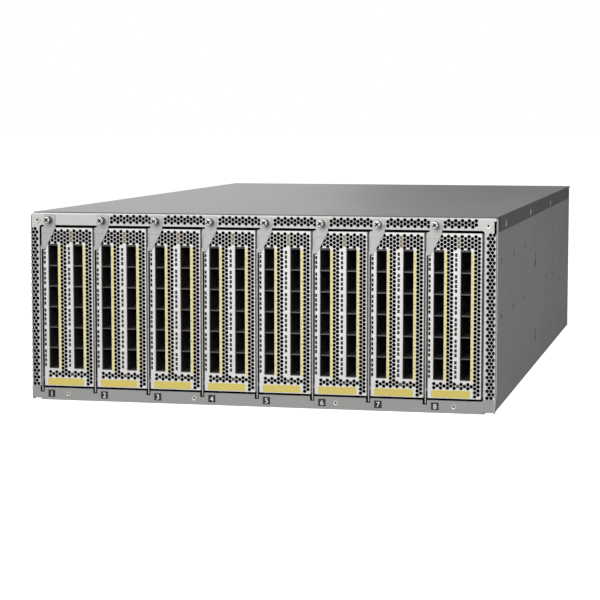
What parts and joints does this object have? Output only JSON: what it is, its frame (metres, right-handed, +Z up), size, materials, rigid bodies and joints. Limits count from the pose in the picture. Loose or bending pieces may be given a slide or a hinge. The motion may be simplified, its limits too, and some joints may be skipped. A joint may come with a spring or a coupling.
{
  "type": "modular chassis switch",
  "caption": "Rack chassis with upright port cards on ejector levers in front, and slide-in power supplies and fan trays at the rear.",
  "frame": {"origin": "middle of the tub's underside, halfway between the bezel face and the rear panel", "axes": "+X to the right seen from the port side, +Y from the port side to the rear, +Z up"},
  "size_m": [0.439, 0.7967, 0.177],
  "materials": {
    "sheet_zinc": "satin",
    "bezel_zinc": "satin",
    "card_zinc": "satin",
    "cage_steel": "satin",
    "lever_steel": "satin",
    "screw_steel": "polished",
    "module_steel": "satin",
    "guide_plastic": "matte",
    "board": "satin",
    "tray_plastic": "matte",
    "rotor_plastic": "matte",
    "latch_plastic": "matte"
  },
  "bodies": {
    "chassis": {"chassis_tub": "sheet_zinc", "top_cover": "sheet_zinc", "front_bezel": "bezel_zinc", "card_guides": "guide_plastic", "midplane": "board", "rear_frame": "sheet_zinc", "chassis_screws": "screw_steel"},
    "card_1": {"card_1_faceplate": "card_zinc", "card_1_boards": "board", "card_1_cages": "cage_steel"},
    "lever_1": {"card_1_lever": "lever_steel"},
    "thumbscrew_1": {"card_1_thumbscrew": "screw_steel"},
    "card_2": {"card_2_faceplate": "card_zinc", "card_2_boards": "board", "card_2_cages": "cage_steel"},
    "lever_2": {"card_2_lever": "lever_steel"},
    "thumbscrew_2": {"card_2_thumbscrew": "screw_steel"},
    "card_3": {"card_3_faceplate": "card_zinc", "card_3_boards": "board", "card_3_cages": "cage_steel"},
    "lever_3": {"card_3_lever": "lever_steel"},
    "thumbscrew_3": {"card_3_thumbscrew": "screw_steel"},
    "card_4": {"card_4_faceplate": "card_zinc", "card_4_boards": "board", "card_4_cages": "cage_steel"},
    "lever_4": {"card_4_lever": "lever_steel"},
    "thumbscrew_4": {"card_4_thumbscrew": "screw_steel"},
    "card_5": {"card_5_faceplate": "card_zinc", "card_5_boards": "board", "card_5_cages": "cage_steel"},
    "lever_5": {"card_5_lever": "lever_steel"},
    "thumbscrew_5": {"card_5_thumbscrew": "screw_steel"},
    "card_6": {"card_6_faceplate": "card_zinc", "card_6_boards": "board", "card_6_cages": "cage_steel"},
    "lever_6": {"card_6_lever": "lever_steel"},
    "thumbscrew_6": {"card_6_thumbscrew": "screw_steel"},
    "card_7": {"card_7_faceplate": "card_zinc", "card_7_boards": "board", "card_7_cages": "cage_steel"},
    "lever_7": {"card_7_lever": "lever_steel"},
    "thumbscrew_7": {"card_7_thumbscrew": "screw_steel"},
    "card_8": {"card_8_faceplate": "card_zinc", "card_8_boards": "board", "card_8_cages": "cage_steel"},
    "lever_8": {"card_8_lever": "lever_steel"},
    "thumbscrew_8": {"card_8_thumbscrew": "screw_steel"},
    "supply_1": {"psu_1_body": "module_steel"},
    "latch_1": {"psu_1_latch": "latch_plastic"},
    "tray_1": {"fan_1_tray": "tray_plastic"},
    "rotor_1": {"fan_1_rotor": "rotor_plastic"},
    "supply_2": {"psu_2_body": "module_steel"},
    "latch_2": {"psu_2_latch": "latch_plastic"},
    "tray_2": {"fan_2_tray": "tray_plastic"},
    "rotor_2": {"fan_2_rotor": "rotor_plastic"},
    "supply_3": {"psu_3_body": "module_steel"},
    "latch_3": {"psu_3_latch": "latch_plastic"},
    "tray_3": {"fan_3_tray": "tray_plastic"},
    "rotor_3": {"fan_3_rotor": "rotor_plastic"}
  },
  "joints": [
    {"name": "card_1_slide", "type": "slide", "parent": "chassis", "child": "card_1", "axis": [0, -1, 0], "range_m": [0, 0.4]},
    {"name": "lever_1_swing", "type": "hinge", "parent": "card_1", "child": "lever_1", "pos_m": [-0.20827, -0.377, 0.0202], "axis": [1, 0, 0], "range_deg": [0, 70]},
    {"name": "thumbscrew_1_pull", "type": "slide", "parent": "lever_1", "child": "thumbscrew_1", "axis": [0, -1, 0], "range_m": [0, 0.004]},
    {"name": "card_2_slide", "type": "slide", "parent": "chassis", "child": "card_2", "axis": [0, -1, 0], "range_m": [0, 0.4]},
    {"name": "lever_2_swing", "type": "hinge", "parent": "card_2", "child": "lever_2", "pos_m": [-0.15607, -0.377, 0.0202], "axis": [1, 0, 0], "range_deg": [0, 70]},
    {"name": "thumbscrew_2_pull", "type": "slide", "parent": "lever_2", "child": "thumbscrew_2", "axis": [0, -1, 0], "range_m": [0, 0.004]},
    {"name": "card_3_slide", "type": "slide", "parent": "chassis", "child": "card_3", "axis": [0, -1, 0], "range_m": [0, 0.4]},
    {"name": "lever_3_swing", "type": "hinge", "parent": "card_3", "child": "lever_3", "pos_m": [-0.10387, -0.377, 0.0202], "axis": [1, 0, 0], "range_deg": [0, 70]},
    {"name": "thumbscrew_3_pull", "type": "slide", "parent": "lever_3", "child": "thumbscrew_3", "axis": [0, -1, 0], "range_m": [0, 0.004]},
    {"name": "card_4_slide", "type": "slide", "parent": "chassis", "child": "card_4", "axis": [0, -1, 0], "range_m": [0, 0.4]},
    {"name": "lever_4_swing", "type": "hinge", "parent": "card_4", "child": "lever_4", "pos_m": [-0.05167, -0.377, 0.0202], "axis": [1, 0, 0], "range_deg": [0, 70]},
    {"name": "thumbscrew_4_pull", "type": "slide", "parent": "lever_4", "child": "thumbscrew_4", "axis": [0, -1, 0], "range_m": [0, 0.004]},
    {"name": "card_5_slide", "type": "slide", "parent": "chassis", "child": "card_5", "axis": [0, -1, 0], "range_m": [0, 0.4]},
    {"name": "lever_5_swing", "type": "hinge", "parent": "card_5", "child": "lever_5", "pos_m": [0.00052, -0.377, 0.0202], "axis": [1, 0, 0], "range_deg": [0, 70]},
    {"name": "thumbscrew_5_pull", "type": "slide", "parent": "lever_5", "child": "thumbscrew_5", "axis": [0, -1, 0], "range_m": [0, 0.004]},
    {"name": "card_6_slide", "type": "slide", "parent": "chassis", "child": "card_6", "axis": [0, -1, 0], "range_m": [0, 0.4]},
    {"name": "lever_6_swing", "type": "hinge", "parent": "card_6", "child": "lever_6", "pos_m": [0.05273, -0.377, 0.0202], "axis": [1, 0, 0], "range_deg": [0, 70]},
    {"name": "thumbscrew_6_pull", "type": "slide", "parent": "lever_6", "child": "thumbscrew_6", "axis": [0, -1, 0], "range_m": [0, 0.004]},
    {"name": "card_7_slide", "type": "slide", "parent": "chassis", "child": "card_7", "axis": [0, -1, 0], "range_m": [0, 0.4]},
    {"name": "lever_7_swing", "type": "hinge", "parent": "card_7", "child": "lever_7", "pos_m": [0.10493, -0.377, 0.0202], "axis": [1, 0, 0], "range_deg": [0, 70]},
    {"name": "thumbscrew_7_pull", "type": "slide", "parent": "lever_7", "child": "thumbscrew_7", "axis": [0, -1, 0], "range_m": [0, 0.004]},
    {"name": "card_8_slide", "type": "slide", "parent": "chassis", "child": "card_8", "axis": [0, -1, 0], "range_m": [0, 0.4]},
    {"name": "lever_8_swing", "type": "hinge", "parent": "card_8", "child": "lever_8", "pos_m": [0.15712, -0.377, 0.0202], "axis": [1, 0, 0], "range_deg": [0, 70]},
    {"name": "thumbscrew_8_pull", "type": "slide", "parent": "lever_8", "child": "thumbscrew_8", "axis": [0, -1, 0], "range_m": [0, 0.004]},
    {"name": "supply_1_slide", "type": "slide", "parent": "chassis", "child": "supply_1", "axis": [0, 1, 0], "range_m": [0, 0.31]},
    {"name": "latch_1_press", "type": "slide", "parent": "supply_1", "child": "latch_1", "axis": [-1, 0, 0], "range_m": [0, 0.004], "stiffness_N_per_m": 300, "springref_m": -0.002},
    {"name": "tray_1_slide", "type": "slide", "parent": "chassis", "child": "tray_1", "axis": [0, 1, 0], "range_m": [0, 0.07]},
    {"name": "rotor_1_spin", "type": "hinge", "parent": "tray_1", "child": "rotor_1", "pos_m": [-0.145, 0.339, 0.1083], "axis": [0, 1, 0], "continuous": true},
    {"name": "supply_2_slide", "type": "slide", "parent": "chassis", "child": "supply_2", "axis": [0, 1, 0], "range_m": [0, 0.31]},
    {"name": "latch_2_press", "type": "slide", "parent": "supply_2", "child": "latch_2", "axis": [-1, 0, 0], "range_m": [0, 0.004], "stiffness_N_per_m": 300, "springref_m": -0.002},
    {"name": "tray_2_slide", "type": "slide", "parent": "chassis", "child": "tray_2", "axis": [0, 1, 0], "range_m": [0, 0.07]},
    {"name": "rotor_2_spin", "type": "hinge", "parent": "tray_2", "child": "rotor_2", "pos_m": [0, 0.339, 0.1083], "axis": [0, 1, 0], "continuous": true},
    {"name": "supply_3_slide", "type": "slide", "parent": "chassis", "child": "supply_3", "axis": [0, 1, 0], "range_m": [0, 0.31]},
    {"name": "latch_3_press", "type": "slide", "parent": "supply_3", "child": "latch_3", "axis": [-1, 0, 0], "range_m": [0, 0.004], "stiffness_N_per_m": 300, "springref_m": -0.002},
    {"name": "tray_3_slide", "type": "slide", "parent": "chassis", "child": "tray_3", "axis": [0, 1, 0], "range_m": [0, 0.07]},
    {"name": "rotor_3_spin", "type": "hinge", "parent": "tray_3", "child": "rotor_3", "pos_m": [0.145, 0.339, 0.1083], "axis": [0, 1, 0], "continuous": true}
  ]
}
